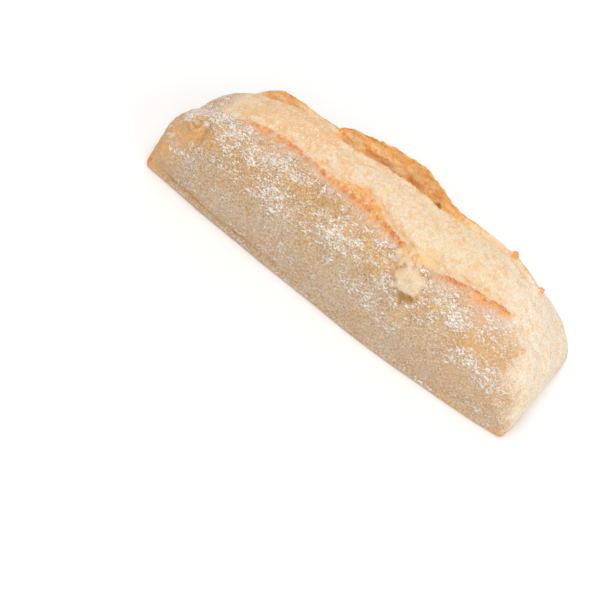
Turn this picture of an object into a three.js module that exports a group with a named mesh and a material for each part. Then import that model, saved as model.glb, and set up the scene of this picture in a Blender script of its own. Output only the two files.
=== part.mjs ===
// A short rustic baguette, baked as one piece: a flat floured base, steep sides, pillow-like ends with
// pointed bottom corners, and two overlapping slashes along the top whose crust edges stand up as ears
// on both sides of a swollen strip of crumb.
//
// Millimetres. +X runs along the loaf, +Z is up, and the origin is on the flat base, in the middle of
// the loaf's box. The near side of the loaf is at -Y.

import * as THREE from "three";

// ---- Driving dimensions -------------------------------------------------------------------------

const HALF_LENGTH = 110;         // middle to the plane that the ends are measured from
const CRUST_RIM_HEIGHT = 0.7;    // thin rim where the crust meets the baking surface
const CREASE_HEIGHT = 3;         // shallow crease just above the rim
const CREASE_DEPTH = 0.5;
const BASE_INSET = 4;            // from the rim in to where the base is flat
const NEAR_SQUARENESS = 0.85;    // below 1 makes the cross-section fuller than an ellipse
const FAR_SQUARENESS = 0.75;
const FACE_HEIGHT = 16;          // height of the middle of each end face
const LEFT_FACE_INSET = 3;       // the left end face is slightly dished
const RIGHT_FACE_INSET = -1.5;   // the right one bulges

const ROWS = 62;                 // cross-sections along the loaf
const CAP_SHARE = 0.26;          // share of each half's rows that go into the rounding of its end
const STEPS_PER_ANCHOR = 3;      // points along the cross-section from one anchor to the next

const CRUST = { color: 0xdcb78a, roughness: 0.9, metalness: 0 };

// ---- Stations along the loaf: [x, value] ---------------------------------------------------------

const NEAR_WIDTH = [[-110, 31.8], [-60, 34.8], [0, 36.5], [20, 37], [40, 36.8], [70, 35.2], [95, 33.4],
  [110, 31.5]];
const FAR_WIDTH = [[-110, 30], [-70, 34], [0, 37], [60, 37], [110, 36]];
const CROWN_HEIGHT = [[-110, 46], [-80, 51], [-40, 54.5], [10, 56.5], [50, 57], [85, 52], [110, 45]];

// Where each edge of the opening lies, in degrees around the cross-section: 0 is the near rim,
// 90 the crown and 180 the far rim.
const NEAR_EAR_ANGLE = [[-110, 80], [-71, 80], [-55, 80.5], [-30, 75], [-10, 71.5], [10, 69],
  [34, 64.5], [42, 68], [48, 71.5], [68, 78], [85, 80], [110, 82]];
const FAR_EAR_ANGLE = [[-110, 116], [-60, 114], [-36, 112], [0, 117], [30, 113], [60, 116], [110, 112]];

// How far each ear stands above the dome.
const NEAR_EAR_LIFT = [[-110, 0], [-84, 0], [-70, 1], [0, 1.5], [25, 1.5], [34, 0.2], [40, 0.5],
  [48, 1.2], [75, 1], [92, 0], [110, 0]];
const FAR_EAR_LIFT = [[-110, 0], [-86, 0], [-76, 4.5], [-62, 3.5], [-48, 1.2], [-40, 1], [-32, 4],
  [-10, 8.5], [5, 9.5], [18, 6], [30, 3], [52, 1.5], [62, 3], [72, 1], [82, 2], [90, 0], [110, 0]];

// ---- Small helpers -------------------------------------------------------------------------------

// Smooth value at x between stations, without overshoot: a monotone cubic.
function valueAt(stations, x) {
  const last = stations.length - 1;
  const at = THREE.MathUtils.clamp(x, stations[0][0], stations[last][0]);
  const rise = (k) => (stations[k + 1][1] - stations[k][1]) / (stations[k + 1][0] - stations[k][0]);
  const slope = (k) => {
    if (k === 0) return rise(0);
    if (k === last) return rise(last - 1);
    const [before, after] = [rise(k - 1), rise(k)];
    return before * after > 0 ? (2 * before * after) / (before + after) : 0;
  };
  let i = 0;
  while (i < last - 1 && at > stations[i + 1][0]) i += 1;
  const span = stations[i + 1][0] - stations[i][0];
  const t = (at - stations[i][0]) / span;
  const smooth = t * t * (3 - 2 * t);
  const bend = t * (1 - t) * span;
  const level = THREE.MathUtils.lerp(stations[i][1], stations[i + 1][1], smooth);
  return level + bend * ((1 - t) * slope(i) - t * slope(i + 1));
}

// Point of the plain dome, without ears, at an angle around the cross-section.
function dome(x, degrees) {
  const angle = THREE.MathUtils.degToRad(degrees);
  const [cosine, sine] = [Math.cos(angle), Math.abs(Math.sin(angle))];
  const across = THREE.MathUtils.smoothstep((1 - cosine) / 2, 0, 1);
  const power = THREE.MathUtils.lerp(NEAR_SQUARENESS, FAR_SQUARENESS, across);
  const width = cosine > 0 ? -valueAt(NEAR_WIDTH, x) : valueAt(FAR_WIDTH, x);
  return { y: width * Math.abs(cosine) ** power, z: valueAt(CROWN_HEIGHT, x) * sine ** power };
}

function shifted({ y, z }, dy, dz) {
  return { y: y + dy, z: z + dz };
}

// ---- The cross-section's anchors -----------------------------------------------------------------

// Each anchor is a line along the loaf. `at` gives its place in the cross-section at x. Each end is
// rounded by a superellipse: `inset` is how far short of HALF_LENGTH the line turns, `radius` how long
// the rounding is, both as [left, right], and `squareness` its exponent.
const nearEar = (x) => ({ angle: valueAt(NEAR_EAR_ANGLE, x), lift: valueAt(NEAR_EAR_LIFT, x) });
const farEar = (x) => ({ angle: valueAt(FAR_EAR_ANGLE, x), lift: valueAt(FAR_EAR_LIFT, x) });

const ANCHORS = [
  { name: "near rim", inset: [-2, -1.5], radius: [8, 8], squareness: 9,
    at: (x) => ({ y: -valueAt(NEAR_WIDTH, x), z: CRUST_RIM_HEIGHT }) },
  { name: "near crease", inset: [-3, -2.5], radius: [9, 9], squareness: 6,
    at: (x) => ({ y: CREASE_DEPTH - valueAt(NEAR_WIDTH, x), z: CREASE_HEIGHT }) },
  { name: "near flank", inset: [-3, -3.5], radius: [13, 11], squareness: 3.2,
    at: (x) => dome(x, 20) },
  { name: "near side", inset: [-2, -1], radius: [20, 18], squareness: 2.6,
    at: (x) => dome(x, 42) },
  { name: "near shoulder", inset: [3, 3], radius: [28, 26], squareness: 2.3,
    at: (x) => dome(x, nearEar(x).angle - 13) },
  { name: "near ear", inset: [8, 6], radius: [34, 32], squareness: 2.15,
    at: (x) => shifted(dome(x, nearEar(x).angle), -0.2 * nearEar(x).lift, nearEar(x).lift) },
  { name: "near cleft", inset: [8, 6], radius: [34, 32], squareness: 2.15,
    at: (x) => shifted(dome(x, nearEar(x).angle + 2.5), 0.2 * nearEar(x).lift, -nearEar(x).lift) },
  { name: "near crumb", inset: [9, 7], radius: [36, 34], squareness: 2.1,
    at: (x) => shifted(dome(x, nearEar(x).angle + 10), 0, 0.3 * nearEar(x).lift) },
  { name: "middle crumb", inset: [10, 8], radius: [38, 36], squareness: 2.1,
    at: (x) => shifted(dome(x, (nearEar(x).angle + farEar(x).angle) / 2), 0, 0.6) },
  { name: "far crumb", inset: [10, 9], radius: [40, 38], squareness: 2.1,
    at: (x) => shifted(dome(x, farEar(x).angle - 10), 0, -0.2 * farEar(x).lift) },
  { name: "far cleft", inset: [10, 9], radius: [40, 38], squareness: 2.1,
    at: (x) => shifted(dome(x, farEar(x).angle - 1), 0.1 * farEar(x).lift, -farEar(x).lift) },
  { name: "far ear", inset: [10, 9], radius: [40, 38], squareness: 2.1,
    at: (x) => shifted(dome(x, farEar(x).angle + 2), 0.35 * farEar(x).lift, farEar(x).lift) },
  { name: "far shoulder", inset: [10, 11], radius: [38, 36], squareness: 2.1,
    at: (x) => dome(x, farEar(x).angle + 14) },
  { name: "far side", inset: [8, 8], radius: [30, 32], squareness: 2.2,
    at: (x) => dome(x, 148) },
  { name: "far flank", inset: [5, 3], radius: [16, 18], squareness: 2.8,
    at: (x) => dome(x, 163) },
  { name: "far rim", inset: [3, 0.5], radius: [8, 8], squareness: 9,
    at: (x) => ({ y: valueAt(FAR_WIDTH, x), z: CRUST_RIM_HEIGHT }) },
  { name: "far base", inset: [3, -1], radius: [5, 5], squareness: 6,
    at: (x) => ({ y: valueAt(FAR_WIDTH, x) - BASE_INSET, z: 0 }) },
  { name: "middle base", inset: [3, -1], radius: [5, 5], squareness: 6,
    at: () => ({ y: 0, z: 0 }) },
  { name: "near base", inset: [-1.5, -2], radius: [5, 5], squareness: 6,
    at: (x) => ({ y: BASE_INSET - valueAt(NEAR_WIDTH, x), z: 0 }) },
];

// One anchor's point in a row. The row's share runs from -1 at the left end to 1 at the right end.
function anchorPoint(anchor, share) {
  const side = share < 0 ? 0 : 1;
  const reach = Math.abs(share);
  const straight = HALF_LENGTH - anchor.inset[side] - anchor.radius[side];
  const body = Math.min(reach / (1 - CAP_SHARE), 1);
  const turn = (Math.max(reach - (1 - CAP_SHARE), 0) / CAP_SHARE) * (Math.PI / 2);
  const power = anchor.squareness;
  const spread = (Math.cos(turn) ** power + Math.sin(turn) ** power) ** (-1 / power);
  const scale = spread * Math.cos(turn);
  const face = HALF_LENGTH - [LEFT_FACE_INSET, RIGHT_FACE_INSET][side];
  const along = body * straight + anchor.radius[side] * spread * Math.sin(turn);
  const inwards = THREE.MathUtils.smoothstep(1 - scale, 0, 1);
  const x = Math.sign(share) * THREE.MathUtils.lerp(along, face, inwards);
  const { y, z } = anchor.at(x);
  return new THREE.Vector3(x, y * scale, THREE.MathUtils.lerp(FACE_HEIGHT, z, scale));
}

// ---- The loaf ------------------------------------------------------------------------------------

// Closed skin over the rows, with one point at the middle of each end face.
function loafGeometry() {
  const columns = ANCHORS.length * STEPS_PER_ANCHOR;
  const positions = [];
  for (let row = 1; row < ROWS - 1; row += 1) {
    const share = (2 * row) / (ROWS - 1) - 1;
    const points = ANCHORS.map((anchor) => anchorPoint(anchor, share));
    const section = new THREE.CatmullRomCurve3(points, true, "centripetal");
    for (let column = 0; column < columns; column += 1) {
      const point = section.getPoint(column / columns);
      positions.push(point.x, point.y, Math.max(point.z, 0));
    }
  }
  const rings = ROWS - 2;
  const leftPole = rings * columns;
  const rightPole = leftPole + 1;
  positions.push(LEFT_FACE_INSET - HALF_LENGTH, 0, FACE_HEIGHT);
  positions.push(HALF_LENGTH - RIGHT_FACE_INSET, 0, FACE_HEIGHT);

  const triangles = [];
  for (let column = 0; column < columns; column += 1) {
    const next = (column + 1) % columns;
    triangles.push(leftPole, column, next);
    for (let ring = 0; ring < rings - 1; ring += 1) {
      const [here, ahead] = [ring * columns, (ring + 1) * columns];
      triangles.push(here + column, ahead + column, here + next);
      triangles.push(ahead + column, ahead + next, here + next);
    }
    const lastRing = (rings - 1) * columns;
    triangles.push(rightPole, lastRing + next, lastRing + column);
  }

  const geometry = new THREE.BufferGeometry();
  geometry.setAttribute("position", new THREE.Float32BufferAttribute(positions, 3));
  geometry.setIndex(triangles);
  centreOnBase(geometry);
  geometry.computeVertexNormals();
  return geometry;
}

// Puts the origin in the middle of the box, on the base.
function centreOnBase(geometry) {
  geometry.computeBoundingBox();
  const centre = geometry.boundingBox.getCenter(new THREE.Vector3());
  geometry.translate(-centre.x, -centre.y, -geometry.boundingBox.min.z);
}

const loaf = new THREE.Mesh(loafGeometry(), new THREE.MeshStandardMaterial(CRUST));
loaf.name = "loaf";

const baguette = new THREE.Group();
baguette.add(loaf);

export default baguette;
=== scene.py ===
"""A short rustic baguette on a pale studio floor.

The loaf lies along +X on its flat base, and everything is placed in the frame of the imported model. The loaf's
lengths are worked out in millimetres and turned into metres where its mesh is made.
"""

import logging
import math
from collections.abc import Callable, Mapping
from dataclasses import dataclass, field
from enum import Enum, IntEnum

import bpy
import numpy as np
from mathutils import Matrix, Vector, noise


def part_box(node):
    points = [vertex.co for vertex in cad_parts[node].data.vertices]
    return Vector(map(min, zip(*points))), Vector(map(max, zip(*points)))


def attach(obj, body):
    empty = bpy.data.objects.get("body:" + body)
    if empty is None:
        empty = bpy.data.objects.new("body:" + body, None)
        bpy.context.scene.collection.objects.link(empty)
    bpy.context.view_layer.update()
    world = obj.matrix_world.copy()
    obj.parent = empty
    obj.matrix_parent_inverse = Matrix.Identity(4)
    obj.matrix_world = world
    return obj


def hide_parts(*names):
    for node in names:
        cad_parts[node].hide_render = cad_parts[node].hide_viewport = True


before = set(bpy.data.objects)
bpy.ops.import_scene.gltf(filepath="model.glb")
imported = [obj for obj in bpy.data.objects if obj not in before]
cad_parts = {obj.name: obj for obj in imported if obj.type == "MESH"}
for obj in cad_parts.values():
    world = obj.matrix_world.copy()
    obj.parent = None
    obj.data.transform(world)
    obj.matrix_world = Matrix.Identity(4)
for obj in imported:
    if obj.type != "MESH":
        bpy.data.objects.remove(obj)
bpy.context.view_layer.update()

Array = np.ndarray
Colour = tuple[float, float, float]
Pair = tuple[float, float]
Triple = tuple[float, float, float]
Place = Callable[[Array], tuple[Array, Array]]

LOG = logging.getLogger("baguette")
MM = 0.001
PATTERN_STEP = 37.7
MASKS = ("crumb", "peach", "ochre", "shade", "brown", "crest",
         "blush", "flour", "dust_and_shade", "base", "toast", "torn")


# ---- Shapes along the loaf -----------------------------------------------------------------------


class Side(Enum):
    """The two long sides of the loaf, with the sign of y on each."""

    NEAR = -1
    FAR = 1


class Dress(Enum):
    """What a spot on the loaf shows, by the name of its mask."""

    PLAIN = "plain"
    CRUMB = "crumb"
    PEACH = "peach"
    OCHRE = "ochre"
    SHADE = "shade"
    BROWN = "brown"
    FLOUR = "flour"


class Pattern(IntEnum):
    """The seed of each noise pattern on the loaf."""

    SWELLING = 1
    LUMP = 2
    DIMPLE = 3
    GRAIN = 4
    PIT = 7
    TEAR = 8
    POCKET = 9
    SCORCH = 10
    PATCH = 21
    FLECK = 22
    CLUMP = 23
    FINE_CLUMP = 24
    STREAK = 25
    BAND = 31
    FINE_BAND = 32
    OUTLINE = 41
    CREASE_COURSE = 51
    CREASE_SHAKE = 52
    CREASE_BREAKS = 53


def smoothstep(low: float, high: float, value: Array) -> Array:
    """Rise smoothly from 0 at low to 1 at high."""
    share = np.clip((value - low) / (high - low), 0.0, 1.0)
    return share * share * (3.0 - 2.0 * share)


def lumps(points: Array, size: float | Triple, seed: int) -> Array:
    """Seeded soft noise over some points.

    Args:
        points: the points, one row of x, y and z each, in millimetres.
        size: the size of one lump in millimetres, or its size along each axis.
        seed: picks one pattern out of many.

    Returns:
        One value for each point, about -0.7 to 0.7.
    """
    scaled = points / np.broadcast_to(np.asarray(size, float), (3,)) + PATTERN_STEP * seed
    return np.array([noise.noise(row) for row in scaled.tolist()])


def wobble(x: Array, size: float, seed: int) -> Array:
    """Noise along a line, with bends of about the given size in millimetres."""
    flat = np.zeros((x.size, 3))
    flat[:, 0] = x.ravel()
    return lumps(flat, size, seed).reshape(x.shape)


@dataclass(frozen=True)
class Stations:
    """A value that changes smoothly along the loaf.

    Attributes:
        points: pairs of x in millimetres and the value there, in order of x.
    """

    points: tuple[Pair, ...]

    def at(self, x: Array) -> Array:
        """Monotone cubic through the stations, so that it never overshoots.

        Args:
            x: places along the loaf, in millimetres.

        Returns:
            The value at each place.
        """
        xs, values = np.array(self.points, float).T
        rise = np.diff(values) / np.diff(xs)
        slope = np.zeros_like(values)
        slope[0], slope[-1] = rise[0], rise[-1]
        before, after = rise[:-1], rise[1:]
        turns = before * after <= 0.0
        total = np.where(turns, 1.0, before + after)
        slope[1:-1] = np.where(turns, 0.0, 2.0 * before * after / total)
        place = np.clip(x, xs[0], xs[-1])
        i = np.clip(np.searchsorted(xs, place) - 1, 0, len(rise) - 1)
        span = xs[i + 1] - xs[i]
        t = (place - xs[i]) / span
        level = values[i] + (values[i + 1] - values[i]) * t * t * (3.0 - 2.0 * t)
        return level + t * (1.0 - t) * span * ((1.0 - t) * slope[i] - t * slope[i + 1])


@dataclass(frozen=True)
class Dome:
    """The plain loaf without ears.

    Attributes:
        near_width, far_width: the half widths along the loaf, in millimetres.
        crown: the crown's height along the loaf, in millimetres.
        near_squareness, far_squareness: the section's exponent on each side; less is squarer.
    """

    near_width: Stations = Stations(((-110, 31.8), (-60, 34.8), (0, 36.5), (20, 37), (40, 36.8), (70, 35.2),
                                     (95, 33.4), (110, 31.5)))
    far_width: Stations = Stations(((-110, 30), (-70, 34), (0, 37), (60, 37), (110, 36)))
    crown: Stations = Stations(((-110, 46), (-80, 51), (-40, 54.5), (10, 56.5), (50, 57), (85, 52),
                                (110, 45)))
    near_squareness: float = 0.85
    far_squareness: float = 0.75

    def at(self, x: Array, degrees: Array | float) -> tuple[Array, Array]:
        """A point of the cross-section.

        Args:
            x: places along the loaf.
            degrees: angle around the section: 0 at the near rim, 90 at the crown, 180 at the far rim.

        Returns:
            y and z at each place.
        """
        angle = np.radians(degrees)
        cosine, sine = np.cos(angle), np.abs(np.sin(angle))
        across = smoothstep(0.0, 1.0, (1.0 - cosine) / 2.0)
        power = self.near_squareness + (self.far_squareness - self.near_squareness) * across
        width = np.where(cosine > 0.0, -self.near_width.at(x), self.far_width.at(x))
        return width * np.abs(cosine) ** power, self.crown.at(x) * sine ** power


@dataclass(frozen=True)
class Ear:
    """A raised crust edge beside the opening.

    Attributes:
        angle: where its edge lies around the section, in degrees.
        lift: how far the edge stands above the dome, in millimetres.
        sway: how far the edge wanders to each side, in degrees.
        ragged: share of the lift that is torn away at random.
        seed: picks the ear's own raggedness.
    """

    angle: Stations
    lift: Stations
    sway: float
    ragged: float
    seed: int

    def angle_at(self, x: Array) -> Array:
        """The edge's angle, with its wandering."""
        shake = wobble(x, 6.0, self.seed) + 0.6 * wobble(x, 2.6, self.seed + 1)
        return self.angle.at(x) + self.sway * shake

    def lift_at(self, x: Array) -> Array:
        """The edge's height above the dome, with its ragged breaks."""
        breaks = wobble(x, 4.2, self.seed + 2) + 0.7 * wobble(x, 1.9, self.seed + 3)
        return self.lift.at(x) * np.clip(1.0 + self.ragged * breaks, 0.1, 1.9)


@dataclass(frozen=True)
class TornEar(Ear):
    """A raised crust edge with a torn strip behind it.

    Attributes:
        tear: how far the cleft lies behind the edge, in degrees.
        band: how far its browning reaches down the outside, as a share of the way to the shoulder.
    """

    tear: Stations
    band: Stations


@dataclass(frozen=True)
class Anchor:
    """A line along the loaf that its cross-sections pass through.

    Attributes:
        name: what the line follows.
        inset: how far short of the loaf's half length the line turns, at the left and right end.
        radius: how long the rounding of the line is at each end.
        squareness: the exponent of that rounding.
        steps: number of points from this anchor to the next.
        place: gives y and z for places along the loaf.
    """

    name: str
    inset: Pair
    radius: Pair
    squareness: float
    steps: int
    place: Place


@dataclass(frozen=True)
class Spot:
    """A lump or dent at one place on the loaf.

    Attributes:
        at: its middle, in millimetres.
        radius: its reach along the loaf and across it.
        height: how far it stands out, or goes in if negative.
        dress: what it shows.
        steep: 1 for a soft swelling, more for a flat top with steep sides.
        ragged: how uneven its outline is.
        tint: how strongly it shows its dress.
    """

    at: Triple
    radius: Pair
    height: float
    dress: Dress = Dress.PLAIN
    steep: float = 1.0
    ragged: float = 0.0
    tint: float = 1.0

    def mask(self, points: Array) -> Array:
        """How much of the spot reaches each point, from 0 to 1."""
        away = points - np.array(self.at)
        along = away[:, 0] / self.radius[0]
        across = np.hypot(away[:, 1], away[:, 2]) / self.radius[1]
        apart = along ** 2 + across ** 2
        close = apart < 9.0
        if self.ragged:
            apart[close] *= 1.0 + self.ragged * lumps(points[close], 3.0, Pattern.OUTLINE)
        return np.where(close, np.exp(-(apart ** self.steep)), 0.0)


@dataclass(frozen=True)
class Curl:
    """The rolled end of the dough: a low spiral ridge.

    Attributes:
        at: its middle, in millimetres.
        along, across: directions that span the skin there, each about 1 long.
        reach: how far out it fades.
        pitch: from one turn of the ridge to the next.
        height: how far the ridge stands out.
    """

    at: Triple = (-94.0, -21.6, 38.6)
    along: Triple = (0.87, -0.29, 0.40)
    across: Triple = (0.0, 0.81, 0.58)
    reach: float = 4.4
    pitch: float = 3.6
    height: float = 1.9

    # Through the masks, the ridge also takes a painted highlight and the groove painted shade.
    def ridge(self, points: Array) -> Array:
        """How the spiral runs over each point: 1 on its ridge, -1 in its groove, 0 away from it."""
        away = points - np.array(self.at)
        u, v = away @ np.array(self.along), away @ np.array(self.across)
        apart = np.hypot(u, v)
        turn = np.arctan2(v, u) - 2.0 * math.pi * apart / self.pitch
        depth = away @ np.cross(self.along, self.across) / self.reach
        return np.cos(turn) * np.exp(-(apart / self.reach) ** 4 - depth ** 2)


@dataclass(frozen=True)
class Skin:
    """The loaf's plain skin, with what its masks are worked out from.

    Attributes:
        points: the skin's points, in millimetres.
        column: each point's place among the anchors, shaken near the ends.
        patches: broad noise.
        flecks: fine noise.
        facing: 1 on the end faces, 0 along the loaf.
        near_lift: 1 where the near ear stands up.
        far_lift: 1 where the far ear stands up.
        spots: how much of each dress the spots give.
    """

    points: Array
    column: Array
    patches: Array
    flecks: Array
    facing: Array
    near_lift: Array
    far_lift: Array
    spots: Mapping[Dress, Array]


# ---- The loaf ------------------------------------------------------------------------------------


@dataclass
class Loaf:
    """The baked loaf: one closed skin of crust, ears and open crumb.

    Attributes:
        half_length: from the middle to the plane that the ends are measured from.
        face_height: height of the middle of each end face.
        face_inset: how far each end face is dished, or bulges if negative.
        rows: cross-sections along the loaf.
        cap_share: share of each half's rows that go into the rounding of its end.
        rim_height: height of the thin rim where the crust met the baking surface.
        crease_height: height of the crease above that rim.
        crease_depth: how deep the crease goes.
        crease_width: how wide the crease is.
        base_inset: from the rim in to where the base is flat.
        crown_rise: how far the middle of the open crumb stands above the dome.
        ridge_at: how far out the near side turns into the right end.
        pale_from: how far out the pale right end starts.
        dome: the plain loaf without ears.
        near_ear, far_ear: the raised edges on both sides of the opening.
        torn_from, torn_to: where the strip behind the near ear starts and stops, each over a short stretch.
        gap_from, gap_to: where the torn flap breaks the near ear's browning, each over a short stretch.
        curl: the rolled end of the dough.
        spots: the lumps, dents, nibs and patches.
        anchors: the lines that the cross-sections pass through.
    """

    half_length: float = 110.0
    face_height: float = 16.0
    face_inset: Pair = (3.0, -1.5)
    rows: int = 381
    cap_share: float = 0.26
    rim_height: float = 1.3
    crease_height: float = 4.2
    crease_depth: float = 1.1
    crease_width: float = 0.9
    base_inset: float = 4.0
    crown_rise: float = 0.6
    ridge_at: float = 104.8
    pale_from: float = 108.0
    dome: Dome = Dome()
    near_ear: TornEar = TornEar(
        angle=Stations(((-110, 75), (-80, 75), (-71, 77.5), (-63, 80.5), (-50, 81), (-41, 80), (-31, 78),
                        (-22, 77), (-12, 75.5), (-2, 74.5), (8, 73.5), (20, 70), (31, 66.5), (35, 65.5),
                        (42, 67), (48, 68.5), (56, 71), (64, 74), (72, 76), (80, 80), (86, 84), (96, 82),
                        (110, 77))),
        lift=Stations(((-110, 0), (-84, 0), (-66, 1.2), (-40, 1.7), (0, 2.2), (25, 2.3), (34, 0.6),
                       (40, 0.8), (48, 1.8), (75, 1.5), (88, 0), (110, 0))),
        sway=1.3, ragged=1.0, seed=3,
        tear=Stations(((-110, 3), (-28, 3.5), (-20, 5), (-10, 10), (-2, 8), (4, 7), (9, 4), (16, 3),
                       (110, 3))),
        band=Stations(((-110, 0.6), (-66, 0.55), (-50, 0.35), (-40, 0.25), (-12, 0.4), (5, 0.38), (20, 0.25),
                       (36, 0.2), (46, 0.3), (67, 0.42), (110, 0.3))))
    far_ear: Ear = Ear(
        angle=Stations(((-110, 116), (-60, 116), (-48, 116), (-36, 112), (0, 117), (30, 113), (60, 116),
                        (90, 116), (110, 118))),
        lift=Stations(((-110, 0), (-88, 0), (-81, 3), (-75, 4.4), (-67, 3), (-58, 1.4), (-48, 0.7),
                       (-42, 0.8), (-37.5, 4), (-33, 6), (-27, 6.8), (-10, 8.6), (3, 9.3), (18, 6.2),
                       (30, 2.6), (52, 1.2), (72, 0.8), (90, 0), (110, 0))),
        sway=0.5, ragged=0.08, seed=11)
    torn_from: Pair = (-24.0, -18.0)
    torn_to: Pair = (7.0, 11.0)
    gap_from: Pair = (33.0, 37.0)
    gap_to: Pair = (41.0, 44.0)

    curl: Curl = Curl()
    spots: tuple[Spot, ...] = (
        # The rolled end, the folds beside it and the flour round it.
        Spot((-101, -18, 37), (4, 4), 1.4, Dress.FLOUR),
        Spot((-94, -22, 38.5), (5, 4.5), 0.8),
        Spot((-88.6, -19.5, 42.2), (1.3, 2.4), -1.2, Dress.SHADE, 1.0, 0.5, 0.4),
        Spot((-88.2, -22.6, 39.8), (1.3, 2.4), -2.0, Dress.SHADE, 1.0, 0.5, 0.6),
        Spot((-88.2, -25.4, 36.4), (1.3, 2.4), -1.8, Dress.SHADE, 1.0, 0.5, 0.5),
        Spot((-89, -27.6, 32.6), (1.5, 2.6), -1.0, Dress.SHADE, 1.0, 0.5, 0.3),
        Spot((-84.5, -22, 42), (2.6, 5), 0.7),
        Spot((-99, -6, 36), (6, 10), 0.2, Dress.FLOUR, 1.0, 0.0, 1.6),
        Spot((-93, 6, 40), (6, 9), 0.2, Dress.FLOUR, 1.0, 0.0, 1.4),
        Spot((-88, -8, 45), (7, 6), 0.2, Dress.FLOUR, 1.0, 0.0, 1.2),
        Spot((-104, -24, 27), (5, 5), 0.9),
        # The swelling where the seam ends, and the flour on it.
        Spot((-94, 4, 39), (11, 11), 1.4),
        Spot((-97, -10, 40), (3, 3.5), -1.2),
        Spot((-90, -13, 44), (8, 4.5), 0.3, Dress.FLOUR, 1.0, 0.6, 1.2),
        Spot((-76, -14, 50), (10, 4.0), 0.3, Dress.FLOUR, 1.0, 0.6, 0.7),
        # Blisters that fell in.
        Spot((-56, -23, 44), (3.5, 3), -1.1),
        Spot((-17, -25, 44), (4, 2.6), -1.0),
        Spot((-18, -28, 39), (3.5, 2.4), -0.9),
        Spot((63, -28, 39), (5, 3), -0.8),
        Spot((64, -26, 42), (5, 2.5), 0.5, Dress.FLOUR),
        # The hollow between the two slashes, with painted half shade in it.
        Spot((37.5, -13.5, 54.5), (5.0, 4.5), -3.0, Dress.OCHRE, 1.2),
        # The torn flap of crumb.
        Spot((29.5, -18.5, 52.8), (6.0, 4.2), 1.8, Dress.CRUMB, 2.5, 0.9, 1.6),
        Spot((30.5, -17.0, 53.6), (3.5, 2.0), 0.2, Dress.OCHRE, 1.0, 0.6, 0.9),
        Spot((35.5, -24.5, 46.6), (7.4, 6.4), 2.4, Dress.CRUMB, 3.0, 0.8, 2.0),
        Spot((35, -23, 48.5), (2.0, 1.8), 0.9),
        Spot((39.5, -25.5, 45.5), (1.8, 1.8), 0.8),
        Spot((31, -24, 47.5), (2.5, 3), 0.0, Dress.OCHRE, 1.0, 0.8, 0.6),
        # The hole under the flap.
        Spot((36.2, -29.4, 38.6), (2.4, 2.7), -2.5, Dress.SHADE, 1.8, 1.0),
        Spot((40.0, -28.8, 39.8), (2.2, 2.0), -2.2, Dress.SHADE, 1.8, 1.0),
        # Nibs that stand on the far edge, the browned tip of the left end and a gap in the far cleft.
        Spot((64.5, 21, 52.5), (2.0, 2.6), 3.4, Dress.BROWN, 1.3, 0.3, 1.4),
        Spot((83.5, 18, 45.5), (2.2, 2.6), 4.6, Dress.BROWN, 1.3, 0.3, 1.6),
        Spot((-112, -31, 2.5), (4, 5), 0.4, Dress.BROWN, 1.0, 0.3, 2.2),
        Spot((21, 18.5, 48.3), (2.4, 1.6), -1.8, Dress.SHADE, 1.5, 0.8),
        # Open pores, with painted half shade in them.
        Spot((92, -5, 44.7), (0.7, 2.6), -1.1, Dress.OCHRE, 1.0, 0.8, 1.4),
        Spot((98.3, 3.7, 38.3), (0.7, 2.2), -1.0, Dress.OCHRE, 1.0, 0.8, 1.4),
        Spot((94, 1.5, 42.5), (0.7, 1.2), -0.8, Dress.OCHRE, 1.0, 0.8, 1.4),
        Spot((48, -6, 57.2), (0.7, 1.5), -0.8, Dress.OCHRE),
        Spot((53.7, 1.4, 57.6), (0.8, 1.8), -0.8, Dress.OCHRE),
        Spot((40, -9, 57.0), (0.8, 1.6), -0.8, Dress.OCHRE),
        # Where the oven touched the crumb.
        Spot((-43, 6, 54.7), (7, 8), 0.3, Dress.PEACH, 1.0, 0.8, 2.0),
        Spot((-56, 8, 53), (8, 8), 0.3, Dress.PEACH, 1.0, 0.8, 2.0),
        Spot((-72, 4, 51), (8, 9), 0.2, Dress.PEACH, 1.0, 0.8),
        Spot((-27, 2, 56), (6, 5), 0.0, Dress.PEACH, 1.0, 0.8),
    )

    anchors: list[Anchor] = field(init=False)

    def __post_init__(self) -> None:
        """Lay out the anchors."""
        self.anchors = self._anchors()

    def _ear_point(self, ear: Ear, turn: float, out: float, up: float, rough: float = 0.0) -> Place:
        """Place a line beside an ear.

        Args:
            ear: the ear.
            turn: degrees past the ear's edge.
            out: share of the lift that the line moves along +Y.
            up: share of the lift that the line moves up.
            rough: degrees that the line is torn to each side.

        Returns:
            A function from x to y and z.
        """
        def place(x: Array) -> tuple[Array, Array]:
            """y and z of the line."""
            lift = ear.lift_at(x)
            torn = rough * (wobble(x, 5.0, ear.seed + 4) + 0.6 * wobble(x, 2.1, ear.seed + 5))
            torn *= np.clip(lift / 4.0, 0.0, 1.0)
            y, z = self.dome.at(x, ear.angle_at(x) + turn + torn)
            return y + out * lift, z + up * lift

        return place

    def _tear_point(self, turn: float, share: float, out: float, up: float) -> Place:
        """Place a line behind the near ear, past the torn strip.

        Args:
            turn: degrees past the ear's edge.
            share: share of the torn strip's width that is added to that.
            out: share of the lift that the line moves along +Y.
            up: share of the lift that the line moves up.

        Returns:
            A function from x to y and z.
        """
        def place(x: Array) -> tuple[Array, Array]:
            """y and z of the line."""
            ear = self.near_ear
            lift = ear.lift.at(x)
            y, z = self.dome.at(x, ear.angle.at(x) + turn + share * ear.tear.at(x))
            return y + out * lift, z + up * lift

        return place

    def _dome_point(self, degrees: float) -> Place:
        """Place a line at a fixed angle around the section."""
        return lambda x: self.dome.at(x, degrees)

    def _flat_point(self, side: Side, inset: float, height: float) -> Place:
        """Place a line at a height, measured in from one side's rim."""
        width = self.dome.near_width if side is Side.NEAR else self.dome.far_width
        return lambda x: (side.value * (width.at(x) - inset), np.full_like(x, height))

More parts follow.
